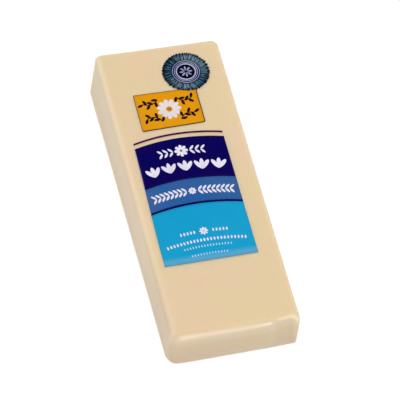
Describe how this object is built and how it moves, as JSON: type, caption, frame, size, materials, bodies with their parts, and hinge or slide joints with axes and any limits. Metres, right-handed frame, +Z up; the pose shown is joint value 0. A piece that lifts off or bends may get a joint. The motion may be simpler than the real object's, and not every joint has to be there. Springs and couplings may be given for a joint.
{
  "type": "cheddar block",
  "caption": "Oblong bar of pale cheddar sealed in clear film, with a printed label and a round foil seal on its top face.",
  "frame": {"origin": "under the middle of the bar's box, on the surface that it lies on", "axes": "+Y along the bar towards the end with the seal, which is the label's top; +X to the right of someone who reads the label; +Z up"},
  "size_m": [0.0594, 0.1508, 0.0253],
  "materials": {
    "film_on_cheese": "pale cream cheddar under tight clear film with a soft gloss",
    "blue_print": "navy, mid blue and sky blue print under clear film",
    "plum_print": "dark plum line printed on clear film",
    "orange_print": "amber orange print with a dark edge on clear film",
    "seal_foil": "steel blue foil sticker with fine rays from its middle"
  },
  "bodies": {
    "root": {"wrapped_cheese": "film_on_cheese", "label_band": "blue_print", "label_line": "plum_print", "label_badge": "orange_print", "foil_seal": "seal_foil"}
  },
  "joints": []
}
